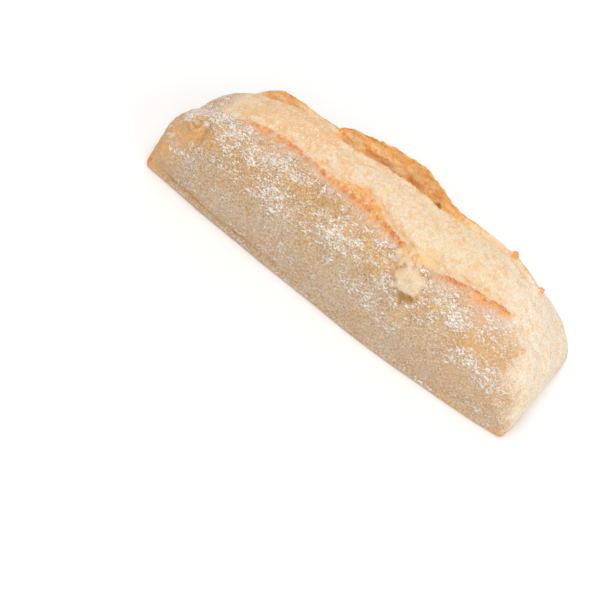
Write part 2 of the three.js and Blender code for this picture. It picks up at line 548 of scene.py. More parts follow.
    def _crown_point(self, x: Array) -> tuple[Array, Array]:
        """y and z of the middle of the open crumb."""
        y, z = self.dome.at(x, (self.near_ear.angle.at(x) + self.far_ear.angle.at(x)) / 2.0)
        return y, z + self.crown_rise

    def _anchors(self) -> list[Anchor]:
        """The lines of the cross-section, from the near rim over the top to the far rim and back below."""
        near, far = self.near_ear, self.far_ear
        return [
            Anchor("near rim", (-2, -1.5), (8, 8), 9.0, 4, self._flat_point(Side.NEAR, 0.0, self.rim_height)),
            Anchor("near crease", (-3, -2.5), (9, 9), 6.0, 16,
                   self._flat_point(Side.NEAR, self.crease_depth, self.crease_height)),
            Anchor("near flank", (-3, -3.5), (13, 11), 3.2, 20, self._dome_point(20.0)),
            Anchor("near side", (-2, -1), (20, 18), 2.6, 14, self._dome_point(42.0)),
            Anchor("near shoulder", (3, 3), (28, 26), 2.3, 13, self._ear_point(near, -13.0, 0.0, 0.0)),
            Anchor("near ear outside", (8, 6), (34, 32), 2.15, 4, self._ear_point(near, -2.5, -0.3, 0.45)),
            Anchor("near ear", (8, 6), (34, 32), 2.15, 4, self._ear_point(near, 0.0, -0.2, 1.0)),
            Anchor("near cleft", (8, 6), (34, 32), 2.15, 9, self._tear_point(0.0, 1.0, 0.3, -0.7)),
            Anchor("near crumb", (9, 7), (36, 34), 2.1, 14, self._tear_point(6.0, 0.8, 0.0, 0.3)),
            Anchor("middle crumb", (10, 8), (38, 36), 2.1, 12, self._crown_point),
            Anchor("far crumb", (10, 9), (40, 38), 2.1, 6, self._ear_point(far, -12.0, 0.0, -0.1)),
            Anchor("far crumb edge", (10, 9), (40, 38), 2.1, 5, self._ear_point(far, -5.0, 0.0, -0.05, 2.8)),
            Anchor("far undercut", (10, 9), (40, 38), 2.1, 4, self._ear_point(far, -3.5, 0.0, -0.55, 2.2)),
            Anchor("far cleft", (10, 9), (40, 38), 2.1, 9, self._ear_point(far, -1.5, 0.1, -0.9)),
            Anchor("far ear inside", (10, 9), (40, 38), 2.1, 9, self._ear_point(far, 0.5, 0.25, 0.15)),
            Anchor("far ear", (10, 9), (40, 38), 2.1, 4, self._ear_point(far, 2.0, 0.35, 1.0)),
            Anchor("far ear outside", (10, 9), (40, 38), 2.1, 12, self._ear_point(far, 4.5, 0.42, 0.72)),
            Anchor("far shoulder", (10, 11), (38, 36), 2.1, 18, self._ear_point(far, 14.0, 0.0, 0.0)),
            Anchor("far side", (8, 8), (30, 32), 2.2, 16, self._dome_point(148.0)),
            Anchor("far flank", (5, 3), (16, 18), 2.8, 14, self._dome_point(163.0)),
            Anchor("far rim", (3, 0.5), (8, 8), 9.0, 4, self._flat_point(Side.FAR, 0.0, self.rim_height)),
            Anchor("far base", (3, -1), (5, 5), 6.0, 16, self._flat_point(Side.FAR, self.base_inset, 0.0)),
            Anchor("middle base", (3, -1), (5, 5), 6.0, 16, lambda x: (0.0 * x, 0.0 * x)),
            Anchor("near base", (-1.5, -2), (5, 5), 6.0, 4,
                   self._flat_point(Side.NEAR, self.base_inset, 0.0)),
        ]

    def _line(self, anchor: Anchor) -> Array:
        """One anchor's points, a row of x, y and z for each cross-section."""
        share = np.linspace(-1.0, 1.0, self.rows)[1:-1]
        right = (share > 0.0).astype(int)
        inset, radius, face = (np.array(pair)[right]
                               for pair in (anchor.inset, anchor.radius, self.face_inset))
        reach = np.abs(share)
        body = np.minimum(reach / (1.0 - self.cap_share), 1.0)
        turn = np.maximum(reach - (1.0 - self.cap_share), 0.0) / self.cap_share * math.pi / 2.0
        power = anchor.squareness
        spread = (np.cos(turn) ** power + np.sin(turn) ** power) ** (-1.0 / power)
        scale = spread * np.cos(turn)
        along = body * (self.half_length - inset - radius) + radius * spread * np.sin(turn)
        along += (self.half_length - face - along) * smoothstep(0.0, 1.0, 1.0 - scale)
        x = np.sign(share) * along
        y, z = anchor.place(x)
        return np.stack([x, y * scale, self.face_height + (z - self.face_height) * scale], axis=1)

    def _rings(self) -> Array:
        """The cross-sections: smooth closed curves through the anchors, as rows by columns by 3."""
        lines = np.stack([self._line(anchor) for anchor in self.anchors], axis=1)
        count = len(self.anchors)
        columns = []
        for i, anchor in enumerate(self.anchors):
            before, start, stop, after = (lines[:, (i + k) % count] for k in (-1, 0, 1, 2))
            gaps = [np.maximum(np.sum((b - a) ** 2, axis=1) ** 0.25, 1e-4)[:, None]
                    for a, b in ((before, start), (start, stop), (stop, after))]
            leave = ((start - before) / gaps[0] - (stop - before) / (gaps[0] + gaps[1])
                     + (stop - start) / gaps[1]) * gaps[1]
            arrive = ((stop - start) / gaps[1] - (after - start) / (gaps[1] + gaps[2])
                      + (after - stop) / gaps[2]) * gaps[1]
            for t in np.arange(anchor.steps) / anchor.steps:
                columns.append((2 * t ** 3 - 3 * t ** 2 + 1) * start + (t ** 3 - 2 * t ** 2 + t) * leave
                               + (3 * t ** 2 - 2 * t ** 3) * stop + (t ** 3 - t ** 2) * arrive)
        rings = np.stack(columns, axis=1)
        rings[..., 2] = np.maximum(rings[..., 2], 0.0)
        return rings

    def _column_anchors(self) -> Array:
        """For each column, its place among the anchors: 2.5 is halfway from the third to the fourth."""
        return np.concatenate([i + np.arange(a.steps) / a.steps for i, a in enumerate(self.anchors)])

    def _between(self, column: Array, start: str, stop: str,
                 soft: tuple[Array | float, Array | float] = (0.5, 0.5)) -> Array:
        """A mask from one anchor to another.

        Args:
            column: each point's place among the anchors.
            start, stop: names of the first and last anchor.
            soft: how far the mask fades out before and after them, in steps between anchors.

        Returns:
            1 between the anchors and 0 well outside them.
        """
        names = [anchor.name for anchor in self.anchors]
        low, high = names.index(start), names.index(stop)
        return smoothstep(low - soft[0], low, column) * (1.0 - smoothstep(high, high + soft[1], column))

    def _normals(self, rings: Array) -> Array:
        """Outward unit normals of the rings' points."""
        around = np.roll(rings, -1, axis=1) - np.roll(rings, 1, axis=1)
        along = np.gradient(rings, axis=0)
        outward = np.cross(along, around)
        outward /= np.maximum(np.linalg.norm(outward, axis=2, keepdims=True), 1e-9)
        middle = outward[self.rows // 2, :, 2][np.argmax(rings[self.rows // 2, :, 2])]
        return outward * np.sign(middle)

    def _skin(self, points: Array, column: Array) -> Skin:
        """Gather what the masks are worked out from.

        Args:
            points: the points of the plain skin.
            column: each point's place among the anchors.

        Returns:
            The skin.
        """
        x = points[:, 0]
        reach = np.abs(x)
        patches = lumps(points, 14.0, Pattern.PATCH)
        flecks = lumps(points, 2.6, Pattern.FLECK)
        shaken = column + smoothstep(84.0, 98.0, reach) * (1.1 * patches + 0.8 * flecks)
        spots = {dress: np.clip(sum(spot.tint * spot.mask(points) for spot in self.spots
                                    if spot.dress is dress), 0.0, 1.0)
                 for dress in Dress if dress is not Dress.PLAIN}
        return Skin(points=points, column=shaken, patches=patches, flecks=flecks,
                    facing=smoothstep(98.0, 107.0, reach),
                    near_lift=np.clip(self.near_ear.lift.at(x), 0.0, 1.0),
                    far_lift=np.clip(self.far_ear.lift.at(x) / 3.0, 0.0, 1.0), spots=spots)

    def _masks(self, points: Array, column: Array) -> dict[str, Array]:
        """How much of each finish lies at each point, from 0 to 1.

        Args:
            points: the points of the plain skin.
            column: each point's place among the anchors.

        Returns:
            crumb: open crumb, and a painted highlight along the ridge of the rolled end.
            peach: crumb that the oven touched, and painted shade in the hollows of the dimples.
            ochre: crumb in half shade.
            shade: deep holes and the crease along the base.
            brown: browned edges.
            crest: the darkest lines of the browned edges.
            blush: the reddening beside them.
            flour: flour in clumps.
            dust_and_shade: an even veil of flour, darkened with painted shade low on the sides and towards the
                bottom of the end faces.
            base: the underside.
            toast: the ends, which baked most.
            torn: the rough strip behind the near ear.
        """
        skin = self._skin(points, column)
        base = self._between(skin.column, "far base", "near base", (0.3, 0.3))
        masks = {"base": base * (1.0 - smoothstep(0.2, 1.4, points[:, 2]))}
        masks |= self._crumb_masks(skin, masks["base"])
        masks |= self._near_edge_masks(skin)
        masks |= self._edge_masks(skin, masks)
        masks |= self._shade_masks(skin, masks["crumb"])
        masks |= self._flour_masks(skin, masks)
        return {label: np.clip(masks[label], 0.0, 1.0) for label in MASKS}

    def _toward_end(self, skin: Skin) -> Array:
        """How far each point lies past the uneven line where the pale right end starts."""
        out = skin.points @ np.array([1.0, 0.39, 0.45])
        return out - self.pale_from + 8.0 * skin.patches + 5.0 * skin.flecks

    def _crumb_masks(self, skin: Skin, base: Array) -> dict[str, Array]:
        """The open crumb with a painted highlight on the curl's ridge, and where the oven touched it, with
        painted shade in the dimples' hollows.
        """
        x = skin.points[:, 0]
        soft = (0.3, 0.6 + 4.0 * (1.0 - skin.far_lift))
        opening = self._between(skin.column, "near ear", "far ear inside", soft)
        opening = opening * smoothstep(-97.0, -86.0, x + 5.0 * skin.patches)
        crumb = np.maximum(opening, smoothstep(-16.0, 7.0, self._toward_end(skin)))
        # The curl's ridge takes the crumb's cream as a painted highlight.
        crumb = np.maximum.reduce([crumb, 0.8 * skin.spots[Dress.CRUMB], 0.8 * self.curl.ridge(skin.points)])
        peach = np.maximum(skin.spots[Dress.PEACH], 0.5 * smoothstep(20.0, -70.0, x) * (0.6 + skin.patches))
        peach = np.maximum(peach, 0.3 * smoothstep(65.0, 100.0, x) * (0.8 + skin.patches))
        # Painted shade: more peach where the dimples dip.
        peach = peach - 1.3 * self._dimples(skin.points)
        return {"crumb": crumb * (1.0 - base), "peach": peach}

    def _near_edge_masks(self, skin: Skin) -> dict[str, Array]:
        """The near ear's browned edge, where it is unbroken, the reddening beside it and the torn strip."""
        x = skin.points[:, 0]
        uneven = 1.0 + 1.1 * wobble(x, 7.0, Pattern.BAND) + 0.8 * wobble(x, 2.6, Pattern.FINE_BAND)
        reach = self.near_ear.band.at(x) * uneven
        reach = np.clip((1.2 + 0.9 * smoothstep(38.0, 46.0, x)) * reach + 0.6 * skin.flecks, 0.1, 1.0)
        unbroken = skin.near_lift * (1.0 - smoothstep(*self.gap_from, x) + smoothstep(*self.gap_to, x))
        rim = self._between(skin.column, "near ear outside", "near ear", (reach, 0.8)) ** 1.8 * unbroken
        beside = (np.clip(2.6 * reach, 0.5, 2.0), 0.3)
        blush = self._between(skin.column, "near ear outside", "near ear", beside) * unbroken
        torn = self._between(skin.column, "near ear", "near cleft", (0.3, 0.4))
        torn *= smoothstep(*self.torn_from, x) * (1.0 - smoothstep(*self.torn_to, x))
        return {"unbroken": unbroken, "near_rim": rim, "blush": blush, "torn": torn}

    def _far_rim(self, skin: Skin) -> Array:
        """The far ear's browned edge."""
        edge = self._between(skin.column, "far ear", "far ear", (0.85, 1.5))
        return np.clip(1.5 * edge, 0.0, 1.0) * skin.far_lift

    def _edge_masks(self, skin: Skin, masks: Mapping[str, Array]) -> dict[str, Array]:
        """All browned edges, and their darkest lines."""
        x, y, z = skin.points.T
        reach = np.abs(x)
        wall = self._between(skin.column, "far cleft", "far ear", (0.4, 0.3)) * skin.far_lift
        wall = wall * (0.05 - 0.7 * self._pockets(skin.points))
        tips = np.exp(-(z / 3.0) ** 2 - ((reach - 111.0) / 6.0) ** 2 - ((np.abs(y) - 32.0) / 6.0) ** 2)
        foot = np.exp(-(z / 1.2) ** 2) * (0.35 + 0.5 * smoothstep(50.0, 100.0, reach)) * (0.7 + skin.flecks)
        scorch = self._between(skin.column, "far ear inside", "far ear outside", (0.9, 0.6)) * skin.far_lift
        scorch *= np.clip(0.55 + 1.6 * lumps(skin.points, (5.0, 3.0, 3.0), Pattern.SCORCH), 0.0, 1.0)
        nibs = skin.spots[Dress.BROWN]
        brown = np.maximum.reduce([masks["near_rim"], masks["torn"], self._far_rim(skin), wall, scorch, tips,
                                   foot, nibs])
        brown = np.clip(brown * (1.0 + 1.1 * skin.flecks), 0.0, 1.0)
        crest = self._between(skin.column, "near ear outside", "near ear", (0.0, 0.5)) * masks["unbroken"]
        crest *= 0.5 + 0.5 * smoothstep(40.0, 50.0, x) + 1.6 * skin.flecks
        far_crest = 0.3 * self._between(skin.column, "far ear", "far ear", (0.3, 0.5)) * skin.far_lift
        return {"brown": brown, "crest": np.maximum.reduce([crest, far_crest, 0.7 * tips, 0.6 * nibs])}

    def _shade_masks(self, skin: Skin, crumb: Array) -> dict[str, Array]:
        """Crumb in half shade, and deep holes."""
        points = skin.points
        inner = self._between(skin.column, "far undercut", "far ear", (0.2, 0.9)) * skin.far_lift
        inner *= np.clip(0.85 + 0.9 * self._pockets(points), 0.0, 1.0)
        pores = np.clip(6.0 * crumb * self._pits(points), 0.0, 1.0)
        # Ochre here is painted half shade inside the far ear, in the pits, pores and hollow, and in the curl's
        # groove; on the torn flap it is also the crumb's own yellower tone.
        ochre = np.maximum.reduce([0.9 * inner, 0.7 * skin.spots[Dress.OCHRE], 0.5 * pores,
                                   -0.9 * self.curl.ridge(points)])
        near_side = self._between(skin.column, "near rim", "near ear outside")
        crease = self._crease(points) * near_side * (0.8 + 0.6 * skin.flecks)
        deep = self._between(skin.column, "far undercut", "far cleft", (0.1, 0.5)) * skin.far_lift
        shade = np.maximum.reduce([skin.spots[Dress.SHADE], 0.65 * crease, 0.1 * deep])
        return {"ochre": ochre, "shade": shade}

    def _flour_masks(self, skin: Skin, masks: Mapping[str, Array]) -> dict[str, Array]:
        """Flour in clumps, the veil of flour with painted shade low down, and the ends that baked most."""
        points, column = skin.points, skin.column
        x, z = points[:, 0], points[:, 2]
        crumb, brown, base = masks["crumb"], masks["brown"], masks["base"]
        ends = smoothstep(-80.0, -96.0, x + 8.0 * skin.patches)
        ends = ends + 0.8 * smoothstep(50.0, 84.0, x + 10.0 * skin.patches)
        toast = ends * (1.0 - base) * (0.55 + 0.45 * smoothstep(4.0, 24.0, z))

        soft = (1.1 + 0.9 * smoothstep(30.0, 80.0, x), 1.0)
        sides = self._between(column, "near side", "near ear outside", soft)
        sides = np.maximum(sides, self._between(column, "far shoulder", "far side", (0.8, 1.2)))
        sides += (0.45 - sides) * skin.facing
        clump = lumps(points, (4.0, 1.8, 1.8), Pattern.CLUMP)
        clump = clump + 0.6 * lumps(points, (2.2, 1.2, 1.2), Pattern.FINE_CLUMP)
        streaks = lumps(points, (26.0, 9.0, 9.0), Pattern.STREAK)
        lean = -0.58 + 0.64 * sides + 0.35 * skin.patches + 0.9 * streaks + 1.2 * skin.spots[Dress.FLOUR]
        lean -= 0.1 * smoothstep(-86.0, -98.0, x)
        flour = smoothstep(-0.8, 0.9, clump + lean) * (1.0 - 0.3 * brown) * (1.0 - 0.9 * crumb)
        flour = flour * (1.0 - self._far_rim(skin))
        flour = np.maximum(flour, 0.9 * skin.spots[Dress.CRUMB]) * (1.0 - base)

        # Low on the sides and towards the bottom of the end faces, the veil carries painted shade.
        low = self._between(column, "near rim", "near flank", (0.5, 1.6))
        low = np.maximum(low, self._between(column, "far flank", "far rim", (1.0, 0.5)))
        low += (1.0 - smoothstep(4.0, 22.0, z) - low) * skin.facing
        dust_and_shade = (0.13 + 0.77 * low - 0.45 * toast) * (1.0 + 0.6 * skin.patches) * (1.0 - brown)
        dust_and_shade = np.maximum(dust_and_shade, 0.9 * smoothstep(-24.0, 10.0, self._toward_end(skin)))
        return {"flour": flour, "dust_and_shade": dust_and_shade + 0.4 * skin.spots[Dress.FLOUR], "toast": toast}

    @staticmethod
    def _dimples(points: Array) -> Array:
        """Noise as large as a fingertip."""
        return lumps(points, (4.5, 3.2, 3.2), Pattern.DIMPLE)

    @staticmethod
    def _pits(points: Array) -> Array:
        """Small separate pits: 0 between them, and more the deeper they are."""
        return np.maximum(lumps(points, (2.6, 2.0, 2.0), Pattern.PIT) - 0.22, 0.0)

    @staticmethod
    def _pockets(points: Array) -> Array:
        """Noise for the pockets inside the far ear."""
        return lumps(points, (6.5, 4.0, 5.0), Pattern.POCKET)

    def _crease(self, points: Array) -> Array:
        """How much of the crease along the near base lies at each point, from 0 to 1."""
        x, z = points[:, 0], points[:, 2]
        height = self.crease_height + 0.9 * wobble(x, 22.0, Pattern.CREASE_COURSE)
        height = height + 0.5 * wobble(x, 6.0, Pattern.CREASE_SHAKE)
        fade = smoothstep(-112.0, -88.0, x) * (1.0 - 0.85 * smoothstep(-60.0, 10.0, x))
        fade = fade * (1.1 + wobble(x, 9.0, Pattern.CREASE_BREAKS)) * (1.0 - smoothstep(60.0, 90.0, x))
        return np.exp(-((z - height) / self.crease_width) ** 2) * fade

    def _past_ridge(self, points: Array) -> Array:
        """How far each point lies past the soft ridge where the near side turns into the right end."""
        return points @ np.array([1.0, 0.39, 0.1]) - self.ridge_at

    def _relief(self, points: Array, column: Array, masks: Mapping[str, Array]) -> Array:
        """How far each point moves along its normal, in millimetres.

        Args:
            points: the points of the plain skin.
            column: each point's place among the anchors.
            masks: the finishes' masks.

        Returns:
            One height for each point.
        """
        crumb = masks["crumb"]
        crust = 1.0 - crumb
        height = 0.8 * lumps(points, (34.0, 20.0, 20.0), Pattern.SWELLING)
        height += (0.42 * crust + 0.22 * crumb) * lumps(points, (13.0, 8.0, 8.0), Pattern.LUMP)
        height += (0.2 * crust + 0.34 * crumb) * self._dimples(points)
        height += (0.16 * crust + 0.15 * crumb) * lumps(points, 1.9, Pattern.GRAIN)
        height += 0.32 * masks["flour"]
        height -= 1.5 * crumb * self._pits(points)
        height += (0.9 * masks["torn"] + 0.2 * masks["brown"]) * lumps(points, 2.2, Pattern.TEAR)
        inside = self._between(column, "far undercut", "far ear", (0.5, 0.2))
        inside = inside * np.clip(self.far_ear.lift.at(points[:, 0]) / 6.0, 0.0, 1.0)
        height -= 1.2 * inside * self._pockets(points)
        past_ridge = self._past_ridge(points)
        near_half = smoothstep(18.0, -14.0, points[:, 1])
        height += 0.5 * near_half * (np.exp(-((past_ridge + 4.0) / 4.0) ** 2)
                                     - np.exp(-((past_ridge - 2.0) / 3.5) ** 2))
        height -= self.crease_depth * self._crease(points) * self._between(column, "near rim", "near flank")
        for spot in self.spots:
            height += spot.height * spot.mask(points)
        height += self.curl.height * self.curl.ridge(points)
        flat = self._between(column, "far base", "near base", (0.9, 0.9))
        flat = flat * smoothstep(3.0, 0.5, points[:, 2])
        foot = 0.15 + 0.85 * smoothstep(0.4, 4.0, points[:, 2])
        return height * (1.0 - flat) * foot

    def build(self, name: str) -> bpy.types.Object:
        """Make the loaf's mesh, with its masks as attributes.

        Args:
            name: the name of the new object.

        Returns:
            The loaf, in metres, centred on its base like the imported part.
        """
        rings = self._rings()
        column = np.tile(self._column_anchors(), rings.shape[0])
        plain = rings.reshape(-1, 3)
        masks = self._masks(plain, column)
        relief = self._relief(plain, column, masks)
        normals = self._normals(rings).reshape(-1, 3)
        skin = plain + normals * relief[:, None]
        skin[:, 2] = np.maximum(skin[:, 2], 0.0)
        poles = self._poles(skin.reshape(rings.shape))
        shift = self._shift_onto_cad(plain)
        vertices = (np.vstack([skin, poles]) + shift) * MM

        mesh = bpy.data.meshes.new(name)
        mesh.from_pydata(vertices.tolist(), [], self._faces(rings.shape[:2]))
        for label, mask in masks.items():
            ends = [mask[:rings.shape[1]].mean(), mask[-rings.shape[1]:].mean()]
            layer = mesh.attributes.new(label, "FLOAT", "POINT")
            layer.data.foreach_set("value", np.concatenate([mask, ends]).astype(np.float32))
        mesh.polygons.foreach_set("use_smooth", np.ones(len(mesh.polygons), bool))
        self._unwrap(mesh, rings)
        mesh.update()
        mesh.validate()
        loaf = bpy.data.objects.new(name, mesh)
        bpy.context.scene.collection.objects.link(loaf)
        return loaf

    def _poles(self, rings: Array) -> Array:
        """The middle points of the left and right end face."""
        return np.stack([rings[0].mean(axis=0), rings[-1].mean(axis=0)])

    def _shift_onto_cad(self, plain: Array) -> Array:
        """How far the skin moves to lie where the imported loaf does, in millimetres."""
        low, high = (np.array(corner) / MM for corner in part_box("loaf"))
        shift = (low + high) / 2.0 - (plain.min(axis=0) + plain.max(axis=0)) / 2.0
        shift[2] = low[2]
        return shift

    def _faces(self, shape: tuple[int, int]) -> list[tuple[int, ...]]:
        """Quads between the rings and a fan at each pole, all facing out."""
        rings, columns = shape
        left_pole, right_pole = rings * columns, rings * columns + 1
        here = np.arange(columns)
        ahead = (here + 1) % columns
        faces = []
        for ring in range(rings - 1):
            low, high = ring * columns, (ring + 1) * columns
            faces += np.stack([low + here, high + here, high + ahead, low + ahead], axis=1).tolist()
        last = (rings - 1) * columns
        faces += [(left_pole, int(a), int(b)) for a, b in zip(here, ahead)]
        faces += [(right_pole, last + int(b), last + int(a)) for a, b in zip(here, ahead)]
        return faces

    def _unwrap(self, mesh: bpy.types.Mesh, rings: Array) -> None:
        """Give the skin one flat map: along the loaf and around it.

        Args:
            mesh: the loaf's mesh, whose vertices are the rings' points and then the two poles.
            rings: the plain cross-sections.
        """
        count, columns = rings.shape[:2]
        along = np.linalg.norm(np.diff(rings, axis=0), axis=2).max(axis=1)
        u_of_ring = np.concatenate([[0.0], np.cumsum(along)])
        u_of_ring = 0.01 + 0.98 * u_of_ring / u_of_ring[-1]
        around = np.linalg.norm(np.roll(rings, -1, axis=1) - rings, axis=2).mean(axis=0)
        v_of_column = np.concatenate([[0.0], np.cumsum(around)])
        v_of_column /= v_of_column[-1]
        corners = np.empty(len(mesh.loops), int)
        mesh.loops.foreach_get("vertex_index", corners)
        starts = np.empty(len(mesh.polygons), int)
        mesh.polygons.foreach_get("loop_start", starts)
        totals = np.empty(len(mesh.polygons), int)
        mesh.polygons.foreach_get("loop_total", totals)
        face_of_corner = np.repeat(np.arange(len(starts)), totals)
        ring = corners // columns
        column = corners % columns
        pole = corners >= count * columns
        wraps = np.zeros(len(starts), bool)
        np.logical_or.at(wraps, face_of_corner, (column == columns - 1) & ~pole)
        v_index = np.where(wraps[face_of_corner] & (column == 0), columns, column)
        uv = np.stack([u_of_ring[np.clip(ring, 0, count - 1)], v_of_column[v_index]], axis=1)
        fan_column = np.zeros(len(starts))
        np.add.at(fan_column, face_of_corner, np.where(pole, 0.0, v_of_column[v_index]) / 2.0)
        uv[pole] = np.stack([np.where(corners[pole] == count * columns, 0.0, 1.0),
                             fan_column[face_of_corner][pole]], axis=1)
        layer = mesh.uv_layers.new(name="OFBake")
        layer.data.foreach_set("uv", uv.astype(np.float32).ravel())


# ---- Shader writing ------------------------------------------------------------------------------


class Value:
    """A number that varies over a surface: a node's output, with the usual operators."""

    def __init__(self, painter: "Painter", socket: bpy.types.NodeSocket) -> None:
        """Wrap one output socket of a painter's tree."""
        self.painter = painter
        self.socket = socket

    def _with(self, operation: str, first: "Value | float", second: "Value | float") -> "Value":
        """Join two numbers by one Math node."""
        return self.painter.value("ShaderNodeMath", {"operation": operation}, {0: first, 1: second})

    def __add__(self, other: "Value | float") -> "Value":
        """self + other."""
        return self._with("ADD", self, other)

    def __radd__(self, other: float) -> "Value":
        """other + self."""
        return self._with("ADD", other, self)

    def __sub__(self, other: "Value | float") -> "Value":
        """self - other."""
        return self._with("SUBTRACT", self, other)

    def __rsub__(self, other: float) -> "Value":
        """other - self."""
        return self._with("SUBTRACT", other, self)

    def __mul__(self, other: "Value | float") -> "Value":
        """self * other."""
        return self._with("MULTIPLY", self, other)

    def __rmul__(self, other: float) -> "Value":
        """other * self."""
        return self._with("MULTIPLY", other, self)

    def clamped(self) -> "Value":
        """The number kept between 0 and 1."""
        return self.painter.value("ShaderNodeClamp", {}, {"Value": self, "Min": 0.0, "Max": 1.0})

    def above(self, level: "Value | float", soft: float) -> "Value":
        """1 well above a level and 0 well below it, changing over a soft width."""
        return ((self - level) * (1.0 / soft) + 0.5).clamped()


class Painter:
    """Writes the nodes of one material."""

    def __init__(self, name: str) -> None:
        """Start a material with no nodes but its output."""
        self.material = bpy.data.materials.new(name)
        self.material.use_nodes = True
        self.tree = self.material.node_tree
        self.tree.nodes.clear()

    def node(self, kind: str, settings: Mapping[str, object],
             inputs: Mapping[str | int, object]) -> bpy.types.Node:
        """Add a node.

        Args:
            kind: the node's type.
            settings: its own settings, set before its sockets are filled.
            inputs: a value, a Value or a socket for each input, by name, identifier or number.

        Returns:
            The new node.
        """
        made = self.tree.nodes.new(kind)
        for key, setting in settings.items():
            setattr(made, key, setting)
        for key, content in inputs.items():
            socket = self._pick(made.inputs, key)
            if isinstance(content, Value):
                self.tree.links.new(content.socket, socket)
            elif isinstance(content, bpy.types.NodeSocket):
                self.tree.links.new(content, socket)
            else:
                socket.default_value = content
        return made

    def value(self, kind: str, settings: Mapping[str, object], inputs: Mapping[str | int, object],
              output: str | int = 0) -> Value:
        """Add a node and take one of its outputs as a number."""
        return Value(self, self._pick(self.node(kind, settings, inputs).outputs, output))

    def mask(self, name: str) -> Value:
        """One of the mesh's masks."""
        return self.value("ShaderNodeAttribute", {"attribute_name": name}, {}, "Fac")

    def mix(self, factor: Value | float, first: object, second: object) -> bpy.types.NodeSocket:
        """Blend two colours, each a socket or a plain colour."""
        colours = {key: (*colour, 1.0) if isinstance(colour, tuple) else colour
                   for key, colour in (("A_Color", first), ("B_Color", second))}
        made = self.node("ShaderNodeMix", {"data_type": "RGBA"}, {"Factor_Float": factor, **colours})
        return self._pick(made.outputs, "Result_Color")

    def speckle(self, place: bpy.types.NodeSocket, size: float, detail: float = 2.0,
                rough: float = 0.55) -> Value:
        """Soft noise from 0 to 1, with lumps of a size in millimetres."""
        return self.value("ShaderNodeTexNoise", {}, {"Vector": place, "Scale": 1.0 / size, "Detail": detail,
                                                     "Roughness": rough}, "Fac")

    def millimetres(self, stretch: Triple = (1.0, 1.0, 1.0)) -> bpy.types.NodeSocket:
        """The point on the object in millimetres, with lengths along each axis divided by the stretch."""
        place = self.node("ShaderNodeTexCoord", {}, {})
        scale = tuple(1.0 / (MM * share) for share in stretch)
        return self.node("ShaderNodeVectorMath", {"operation": "MULTIPLY"},
                         {0: place.outputs["Object"], 1: scale}).outputs[0]

    def finish(self, shader: bpy.types.NodeSocket) -> bpy.types.Material:
        """Send a shader to the surface and give the material."""
        self.node("ShaderNodeOutputMaterial", {}, {"Surface": shader})
        return self.material

    @staticmethod
    def _pick(sockets: bpy.types.bpy_prop_collection, key: str | int) -> bpy.types.NodeSocket:
        """Find a socket by number, identifier or name."""
        if isinstance(key, int):
            return sockets[key]
        return next(s for s in sockets if key in (s.identifier, s.name))


